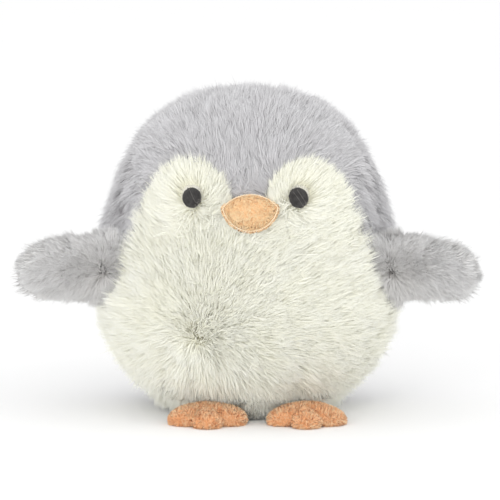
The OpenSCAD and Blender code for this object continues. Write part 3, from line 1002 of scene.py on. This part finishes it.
def sleeve(name, steps, wing):
    """A tube through rings of (distance out from the seam, half width, half thickness), in mm."""
    out0, wide0, thick0 = steps[0]
    bpy.ops.object.select_all(action="DESELECT")
    bpy.ops.mesh.primitive_circle_add(vertices=40, radius=1, location=(0, 0, 0))
    piece = bpy.context.object
    piece.name = name
    bpy.ops.object.mode_set(mode="EDIT")
    bpy.ops.mesh.select_all(action="SELECT")
    bpy.ops.transform.resize(value=(wide0 * MM, thick0 * MM, 1))
    bpy.ops.transform.translate(value=(0, 0, out0 * MM))
    for (out_a, wide_a, thick_a), (out_b, wide_b, thick_b) in zip(steps, steps[1:]):
        bpy.ops.mesh.extrude_region_move(TRANSFORM_OT_translate={"value": (0, 0, (out_b - out_a) * MM)})
        bpy.ops.transform.resize(value=(wide_b / wide_a, thick_b / thick_a, 1))
    bpy.ops.mesh.select_all(action="SELECT")
    bpy.ops.mesh.normals_make_consistent(inside=False)
    bpy.ops.object.mode_set(mode="OBJECT")
    turn = np.stack([wing["up"], wing["through"], wing["out"]], 1)
    local = points_of(piece)
    seam = wing["hinge"] - wing["out"] * SEAM_IN * MM
    set_points(piece, seam + local @ turn.T)
    select_only(piece)
    bpy.ops.object.mode_set(mode="EDIT")
    bpy.ops.mesh.select_all(action="SELECT")
    bpy.ops.mesh.normals_make_consistent(inside=False)
    bpy.ops.object.mode_set(mode="OBJECT")
    return piece


def skin_of(piece):
    points, faces = triangles_of(piece)
    return points, smooth_normals(points, faces), faces, np.zeros(len(faces), int)


for side, sign in SIDES.items():
    wing = wings[side]
    spans = ((-1, 6), (8, 18))
    lengths = (SLEEVE_STEPS[:SPLIT + 1], SLEEVE_STEPS[SPLIT:])
    for number, part in enumerate(("inner", "outer")):
        seed = 70 + sign * 2 + number
        cloth = sleeve(f"wing_sleeve_{part}_{side}", lengths[number], wing)
        roots, up = scatter(skin_of(cloth), [0], WING_DENSE, seed)
        centre = wing["hinge"] + wing["out"] * 4 * MM + wing["through"] * 6 * MM
        # painted shade near the hinge, where the sleeve meets the body: fibres there take more of the darker
        # root colour
        dark = 0.35 * near(roots, centre, 15 * MM)
        fur = grow(f"wing_root_fur_{part}_{side}", roots, up, wing_nap(roots, wing), WING_PILE, wing_fur,
                   seed, lock=2.6 * MM, gather=0.4, width=0.38 * MM, dark=dark,
                   flat=wing_flat(roots, up, wing))
        modify(cloth, "SOLIDIFY", thickness=CLOTH_T, offset=-1.0)
        subdivide(cloth)
        smooth(cloth)
        cloth.data.materials.append(grey_backing)
        if part == "inner":
            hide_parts(f"wing_root_{side}")
        start, end = (wing["hinge"] + wing["out"] * (out - SEAM_IN) * MM for out in spans[number])
        for piece in (cloth, fur):
            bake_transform(piece)
print("the wings and their sleeves are covered")

# %% [markdown]
# ## Threads and copies
# Embroidery and stitches are short lengths of thread. A curve with a round bevel gives each thread
# its body, and becomes a mesh at the end.

# %% Lay threads along paths
def threads(name, paths, radius, material, sides=2):
    curve = bpy.data.curves.new(name, "CURVE")
    curve.dimensions = "3D"
    curve.bevel_depth = radius
    curve.bevel_resolution = sides
    curve.use_fill_caps = True
    for path in paths:
        spline = curve.splines.new("POLY")
        spline.points.add(len(path) - 1)
        spline.points.foreach_set("co", np.column_stack([path, np.ones(len(path))]).ravel())
    select_only(placed(name, curve))
    bpy.ops.object.convert(target="MESH")
    piece = bpy.context.object
    smooth(piece)
    piece.data.materials.clear()
    piece.data.materials.append(material)
    print(name, "has", len(paths), "threads")
    return piece


def flat_axes(piece_points):
    """The middle of a flat shape and three axes: across, up, and forward out of its plane."""
    centre = piece_points.mean(0)
    _, _, rows = np.linalg.svd(piece_points - centre, full_matrices=False)
    out = rows[2] * np.sign(rows[2] @ FORWARD)
    across = unit(np.cross(-DOWN, out))
    return centre, np.array([across, np.cross(out, across), out])


def thread_material(name, colour, light, twist_mm, roughness=0.6, sheen=0.2):
    return cloth_material(name, colour, light, patch_mm=2.5, loop_mm=twist_mm, bump_mm=0.08,
                          roughness=roughness, sheen=sheen)


cream_thread = thread_material("cream_thread", (0.88, 0.66, 0.42), (0.95, 0.80, 0.58), 0.5)
eye_thread = thread_material("eye_thread", (0.030, 0.028, 0.027), (0.055, 0.052, 0.050), 0.4, 0.55, 0.1)
# paler threads, a painted highlight on the black satin stitch
eye_painted_highlight = thread_material("eye_painted_highlight_thread", (0.13, 0.12, 0.11), (0.22, 0.21, 0.19), 0.4, 0.55, 0.1)
print("thread materials are ready")

# %% [markdown]
# ## Eyes
# Each eye is a disc of satin stitch: black threads laid side by side over a padded base, going into
# the cloth at both ends. The ends don't line up, so the disc has a scalloped edge. The model's own
# disc is the padded base and keeps its shape. The threads go over it.

# %% Embroider the eyes
THREAD_R = 0.24 * MM
THREAD_ANGLE = math.radians(-58)
DOME_H = 0.55 * MM
# the share of rows laid in the paler thread, a painted highlight
PAINTED_HIGHLIGHT_SHARE = 0.04
LOOSE_THREADS = 7

for side, sign in SIDES.items():
    rng = np.random.default_rng(90 + sign)
    node = frame["nodes"][side + "_eye"]
    node.data.materials.clear()
    node.data.materials.append(eye_thread)
    centre, axes = flat_axes(points_of(node))
    local = (points_of(node) - centre) @ axes.T
    top, radius = local[:, 2].max(), np.linalg.norm(local[:, :2], axis=1).max()
    lie = np.array([math.cos(THREAD_ANGLE), math.sin(THREAD_ANGLE)])
    beside = np.array([-lie[1], lie[0]])
    dark_paths, painted_highlight_paths = [], []
    for row in np.arange(-radius + THREAD_R, radius, THREAD_R * 1.55):
        reach = math.sqrt(max(radius ** 2 - row ** 2, 0.2 * MM ** 2)) + 0.2 * MM
        ends = (-reach * rng.uniform(0.94, 1.06), reach * rng.uniform(0.94, 1.06))
        row = row + 0.05 * MM * rng.normal()
        path = []
        for s in np.linspace(0, 1, 9):
            along = ends[0] + (ends[1] - ends[0]) * s
            share = min(1, math.hypot(along, row) / radius)
            height = top + DOME_H * (1 - share ** 2) - 1.3 * MM * ramp(share, 0.86, 1.0)
            flat = lie * along + beside * (row + 0.08 * MM * math.sin(5 * s + row / MM))
            path.append(centre + flat @ axes[:2] + axes[2] * height)
        (painted_highlight_paths if rng.random() < PAINTED_HIGHLIGHT_SHARE else dark_paths).append(np.array(path))
    # a few threads run on past the rim, and pale ones cross it low on the side: these and the few pale rows
    # are a painted highlight
    for _ in range(LOOSE_THREADS):
        turn = math.radians(rng.uniform(-75, 5))
        at = np.array([math.cos(turn), math.sin(turn)])
        start, end = at * radius * 0.80, at * radius * 1.08 + rng.normal(size=2) * 0.15 * MM
        painted_highlight_paths.append(np.array([centre + (start * (1 - s) + end * s) @ axes[:2]
                                    + axes[2] * (top + DOME_H * 0.5 - 0.5 * MM * s) for s in (0, 0.5, 1)]))
    for kind, paths, material, size in (("threads", dark_paths, eye_thread, THREAD_R),
                                        ("painted_highlight_threads", painted_highlight_paths, eye_painted_highlight, THREAD_R * 0.5)):
        piece = threads(f"{side}_eye_{kind}", paths, size, material)
        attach(piece, "torso")

# %% [markdown]
# ## Beak
# The beak is a little cushion of short fleece, sewn on along its flat edge. Its form is the closed
# shape round the model's cover, blown up with the edge held. The channel of the stitching comes
# after that, because a remesh would fill it.

# %% Form of the beak
BEAK_VOXEL = 0.8 * MM
BEAK_CAP = 0.7 * MM
CHANNEL = 1.3 * MM

ring_points = points_of(frame["nodes"]["beak_stitching"])
beak_centre, beak_axes = flat_axes(ring_points)


def ring_line(count):
    """The line that the stitching follows, as points round the beak."""
    local = (ring_points - beak_centre) @ beak_axes.T
    turn = np.arctan2(local[:, 1], local[:, 0])
    steps = np.linspace(-math.pi, math.pi, 97)
    off = np.angle(np.exp(1j * (turn[None] - steps[:, None])))
    weight = np.exp(-(off / math.radians(5)) ** 2)
    line = weight @ local / weight.sum(1, keepdims=True)
    far = np.concatenate([[0], np.cumsum(np.linalg.norm(np.diff(line, axis=0), axis=1))])
    at = np.linspace(0, far[-1], count, endpoint=False)
    return np.stack([np.interp(at, far, line[:, k]) for k in range(3)], 1)


def hull_copy(name, node):
    """The closed shape that fits round a node."""
    piece = joined_copy(name, [node])
    mesh = bmesh.new()
    mesh.from_mesh(piece.data)
    result = bmesh.ops.convex_hull(mesh, input=mesh.verts)
    hull = {part for part in result["geom"] if isinstance(part, bmesh.types.BMFace)}
    bmesh.ops.delete(mesh, geom=result["geom_interior"], context="VERTS")
    bmesh.ops.delete(mesh, geom=[f for f in mesh.faces if f not in hull], context="FACES_ONLY")
    mesh.to_mesh(piece.data)
    mesh.free()
    return piece


beak_form = hull_copy("beak_fleece", "beak_cover")
remesh(beak_form, BEAK_VOXEL)
line = ring_line(160)
line_world = beak_centre + line @ beak_axes


def held_hem(at):
    return np.exp(-(nearest(at, line_world) / (2 * MM)) ** 2)


blow_up(beak_form, held_hem, BEAK_CAP)
modify(beak_form, "SMOOTH", factor=0.6, iterations=8)
at = points_of(beak_form)
local = (at - beak_centre) @ beak_axes.T
near_line = np.linalg.norm(local[:, None, :2] - line[None, :, :2], axis=2)
channel_floor = line[near_line.argmin(1), 2] - 0.25 * MM
press = np.exp(-(near_line.min(1) / CHANNEL) ** 2)[:, None] * (local[:, 2:] > -2 * MM)
sunk = np.minimum(local[:, 2:], channel_floor[:, None])
local[:, 2:] += (sunk - local[:, 2:]) * press
set_points(beak_form, beak_centre + local @ beak_axes)
subdivide(beak_form)
smooth(beak_form)

beak_cloth = cloth_material("beak_fleece_base", (0.92, 0.52, 0.26), (0.97, 0.64, 0.36), patch_mm=1.4,
                            bump_mm=0.35)
# the pile's root colour is darker and deeper orange: painted shade between the fibres
beak_fuzz = fibre_material("beak_fleece_pile", (1.0, 0.64, 0.34), (1.0, 0.86, 0.58), (1.0, 0.68, 0.36),
                           spread=0.12)
beak_form.data.materials.append(beak_cloth)
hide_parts("beak_cover")
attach(beak_form, "torso")
print("beak form:", len(beak_form.data.polygons), "faces")

# %% [markdown]
# Fleece is a short dense pile that stands in tiny curls. So its fibres are short, lean every way, and
# gather in very small locks. Each curl is a little darker where it turns in: painted shade, from the
# darker root colour of its fibres.

# %% Fleece pile on the beak
CURL = 0.9 * MM


def fleece(name, form, per_mm2, length, material, seed, body, keep=None, **facts):
    roots, up = scatter(skin_of(form), [0], per_mm2, seed)
    if keep is not None:
        kept = keep(roots, up)
        roots, up = roots[kept], up[kept]
    nap = wobble(roots, CURL, seed + 7)
    piece = grow(name, roots, up, nap, length, material, seed, roll=20, mess=0.9, swirl=CURL,
                 spotty=0.4, **facts)
    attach(piece, body)
    return piece


def front_of_beak(roots, up):
    local = (roots - beak_centre) @ beak_axes.T
    off_line = np.min(np.linalg.norm(local[:, None, :2] - line[None, ::2, :2], axis=2), axis=1)
    return (local[:, 2] > -3 * MM) & (off_line > 0.75 * MM)


pile = fleece("beak_pile", beak_form, 34.0, 1.3 * MM, beak_fuzz, 100, "torso", front_of_beak,
              width=0.2 * MM, lock=0.9 * MM, gather=0.25, lift=(56, 34))

# %% [markdown]
# One line of cream thread runs right along the edge of the beak. Each stitch is a short plump
# length that tips a little across the line. A second, finer line shows only along the top.

# %% Stitches round the beak
def stitches(line, length, radius, tip):
    """Short plump threads along a closed line, each turned a little across it."""
    paths = []
    for i in range(len(line)):
        ahead = unit(line[(i + 1) % len(line)] - line[i - 1])
        across = np.array([-ahead[1], ahead[0], 0])
        half = (ahead + across * tip) * length / 2
        rise = np.array([0, 0, radius * 1.2])
        paths.append(np.array([line[i] - half, line[i] - half * 0.4 + rise, line[i] + half * 0.4 + rise,
                               line[i] + half]))
    return paths


outer = ring_line(52) * [1.03, 1.03, 1.0] + [0, 0, 0.5 * MM]
inner = ring_line(58) * [0.90, 0.84, 1.0]
inner = inner[inner[:, 1] > 1.2 * MM] + [0, 0, 1.7 * MM]
thread_paths = stitches(outer, 1.45 * MM, radius=0.45 * MM, tip=0.35)
fine_paths = stitches(inner, 1.7 * MM, radius=0.22 * MM, tip=-0.2)[1:-1]
for name, paths, size in (("beak_stitches", thread_paths, 0.42 * MM),
                          ("beak_fine_stitches", fine_paths, 0.22 * MM)):
    piece = threads(name, [beak_centre + path @ beak_axes for path in paths], size, cream_thread)
    subdivide(piece)
    if name == "beak_stitches":
        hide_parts("beak_stitching")
    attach(piece, "torso")

# %% [markdown]
# ## Feet
# Each foot is a flat fleece pad with three round toes. Its sole is held flat under pressure, and
# then the two lines between the toes are pressed in, where the real one has a row of stitches.

# %% Form of a foot
FOOT_VOXEL = 1.3 * MM
FOOT_CAP = 1.3 * MM
CREASE = 1.8 * MM
CREASE_DEEP = 3.2 * MM
TOE_RISE = 2.6 * MM
TOE_ANGLE = math.radians(32.5)


def biggest_part(piece):
    """Throws away the small closed shells that a remesh leaves inside."""
    mesh = bmesh.new()
    mesh.from_mesh(piece.data)
    left, parts = set(mesh.verts), []
    while left:
        part, queue = set(), [left.pop()]
        while queue:
            vert = queue.pop()
            part.add(vert)
            for edge in vert.link_edges:
                other = edge.other_vert(vert)
                if other in left:
                    left.remove(other)
                    queue.append(other)
        parts.append(part)
    keep = max(parts, key=len)
    bmesh.ops.delete(mesh, geom=[v for v in mesh.verts if v not in keep], context="VERTS")
    mesh.to_mesh(piece.data)
    mesh.free()


foot_cloth = cloth_material("foot_fleece_base", (0.74, 0.34, 0.14), (0.88, 0.48, 0.24), patch_mm=2.0,
                            bump_mm=0.4)
# the pile's root colour is darker and deeper orange: painted shade between the fibres
foot_fuzz = fibre_material("foot_fleece_pile", (0.98, 0.52, 0.25), (1.0, 0.84, 0.58), (1.0, 0.56, 0.28),
                           spread=0.2)

for side, sign in SIDES.items():
    form = joined_copy(f"foot_fleece_{side}", [f"foot_{part}_{side}" for part in ("top", "sole", "stuffing")])
    remesh(form, FOOT_VOXEL)
    biggest_part(form)
    low, high = points_of(form).min(0), points_of(form).max(0)

    def held_sole(at):
        return 1 - ramp(at[:, 2], 1.5 * MM, 4.5 * MM)

    blow_up(form, held_sole, FOOT_CAP)
    modify(form, "SMOOTH", factor=0.6, iterations=6)
    at = points_of(form)
    hinge = np.array(joint(f"{side}_foot_flex")["pos_m"])
    ball = np.array([hinge[0], (low[1] + high[1]) / 2 + 1 * MM])
    for turn in (-TOE_ANGLE, TOE_ANGLE):
        line_way = np.array([math.sin(turn), -math.cos(turn)])
        off = at[:, :2] - ball
        along, beside = off @ line_way, off @ np.array([-line_way[1], line_way[0]])
        groove = np.exp(-(beside / CREASE) ** 2) * ramp(along, -4 * MM, 6 * MM)
        at[:, 2] -= CREASE_DEEP * groove * ramp(at[:, 2], 3 * MM, 7 * MM)
        at[:, 2] += TOE_RISE * groove * (1 - ramp(at[:, 2], 1 * MM, 5 * MM)) * ramp(along, 4 * MM, 12 * MM)
    at[:, 2] = np.maximum(at[:, 2], 0.3 * MM)
    set_points(form, at)
    subdivide(form)
    smooth(form)
    form.data.materials.append(foot_cloth)
    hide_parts(f"foot_top_{side}", f"foot_sole_{side}")
    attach(form, f"{side}_foot")
    pile = fleece(f"foot_pile_{side}", form, 13.5, 2.2 * MM, foot_fuzz, 110 + sign, f"{side}_foot",
                  width=0.24 * MM, lock=1.2 * MM, gather=0.35, lift=(68, 52), floor_z=0.15 * MM)

# %% [markdown]
# ## Filling
# Inside, the body, wings, feet and beak hold loose polyester fibre, and a bag of plastic pellets
# weighs the bottom down. They hardly ever show, but each is its own piece with lumps of its own.

# %% Filling and pellet bag
fibre_fill = cloth_material("fibre_fill", (0.86, 0.86, 0.84), (0.94, 0.94, 0.93), patch_mm=5, bump_mm=1.0)
pellet_cloth = cloth_material("pellet_cloth", (0.55, 0.47, 0.36), (0.66, 0.58, 0.46), loop_mm=0.7)


def lumpy(name, node, body, voxel, lump, material, seed, fit=None):
    piece = joined_copy(name, [node])
    remesh(piece, voxel)
    at = points_of(piece)
    if fit is not None:
        at = fit(at)
    size = at.max(0) - at.min(0)
    mesh = skin_of(piece)
    inward = -0.5 * lump * (1 + np.clip(wobble(at, size.min() / 2, seed)[:, :1], -1, 1))
    set_points(piece, at + smooth_normals(at, mesh[2]) * inward)
    smooth(piece)
    piece.data.materials.append(material)
    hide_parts(node)
    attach(piece, body)
    return piece


def fit_in_wing(side):
    centre, axes = wings[side]["centre"], wings[side]["axes"]
    return lambda at: centre - axes[0] * WING_BACK + ((at - centre) @ axes.T * WING_SHRINK * 0.9) @ axes


def fit_in_foot(at):
    centre = (at.max(0) + at.min(0)) / 2
    return centre + (at - centre) * [0.92, 0.92, 0.62] - [0, 0, 0.8 * MM]


def fit_in_beak(at):
    centre = at.mean(0)
    return centre + (at - centre) * 0.8


lumpy("body_filling", "body_stuffing", "torso", 6 * MM, 2.5 * MM, fibre_fill, 120)
lumpy("beak_filling", "beak_pad", "torso", 1.2 * MM, 0.3 * MM, fibre_fill, 121, fit_in_beak)
pellets = lumpy("pellet_pouch", "pellet_bag", "torso", 4 * MM, 1.5 * MM, pellet_cloth, 122)
for side, sign in SIDES.items():
    lumpy(f"wing_filling_{side}", f"wing_stuffing_{side}", f"{side}_wing", 2 * MM, 0.8 * MM, fibre_fill,
          130 + sign, fit_in_wing(side))
    lumpy(f"foot_filling_{side}", f"foot_stuffing_{side}", f"{side}_foot", 1.5 * MM, 0.5 * MM, fibre_fill,
          140 + sign, fit_in_foot)

# %% [markdown]
# ## Label
# A strip of satin is folded in half and both ends are sewn into the back seam. One edge is extruded
# along the strip, round the fold and back, and given its thickness. It carries no print.

# %% Fold the label
LABEL_CLOTH = 0.25 * MM
LABEL_LONGEST = 17 * MM
SEWN_IN = -0.22
label_points = points_of(frame["nodes"]["care_label"])
label_centre = label_points.mean(0)
spread = np.unique(np.round((label_points - label_centre)[:, 1:], 5), axis=0)
edge = spread[:, None] - spread[None]
edge = edge[np.arange(len(spread))[:, None] != np.arange(len(spread))[None]]
lengths = np.linalg.norm(edge, axis=1)
hang = max(edge[lengths < LABEL_LONGEST], key=lambda e: e[0])
hang = np.array([0, hang[0], hang[1]])
label_len = np.linalg.norm(hang)
hang = hang / label_len
label_up = np.cross(hang, ACROSS)
label_wide = np.ptp(label_points @ label_up)
label_half = np.ptp(label_points[:, 0]) / 2 - LABEL_CLOTH

FOLD_AT = 0.94
STEPS = 9


def label_side(side, start, end):
    """One half of the folded strip, which bulges a little away from the other."""
    return [(side * label_half * (1 + 0.4 * math.sin(3 * s)), s * label_len)
            for s in np.linspace(start, end, STEPS)]


fold = label_side(-1, SEWN_IN, FOLD_AT)
fold += [(-label_half * 1.1 * math.cos(a), label_len * (FOLD_AT + 0.05 * math.sin(a)))
         for a in np.linspace(0, math.pi, 7)[1:-1]]
fold += label_side(1, FOLD_AT, SEWN_IN)

label = new_piece("care_label_satin", [(*fold[0], z) for z in (-label_wide / 2, label_wide / 2)], [])
select_only(label)
bpy.ops.object.mode_set(mode="EDIT")
bpy.ops.mesh.select_all(action="SELECT")
bpy.ops.mesh.edge_face_add()
for (x0, y0), (x1, y1) in zip(fold, fold[1:]):
    bpy.ops.mesh.extrude_region_move(TRANSFORM_OT_translate={"value": (x1 - x0, y1 - y0, 0)})
bpy.ops.mesh.select_all(action="SELECT")
bpy.ops.mesh.normals_make_consistent(inside=False)
bpy.ops.object.mode_set(mode="OBJECT")
at = points_of(label)
start = label_centre - hang * label_len / 2
set_points(label, start + at[:, :1] * ACROSS + at[:, 1:2] * hang + at[:, 2:] * label_up)
modify(label, "SOLIDIFY", thickness=LABEL_CLOTH, offset=0.0)
subdivide(label)
smooth(label)
label.data.materials.append(cloth_material("label_satin", (0.86, 0.86, 0.85), (0.93, 0.93, 0.92), patch_mm=6,
                                           loop_mm=0.35, bump_mm=0.04, roughness=0.35, sheen=0.1))
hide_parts("care_label")
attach(label, "torso")

# %% [markdown]
# ## Size of the finished toy
# The last line reads the box round the finished toy.

# %% Size of the toy
low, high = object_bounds()
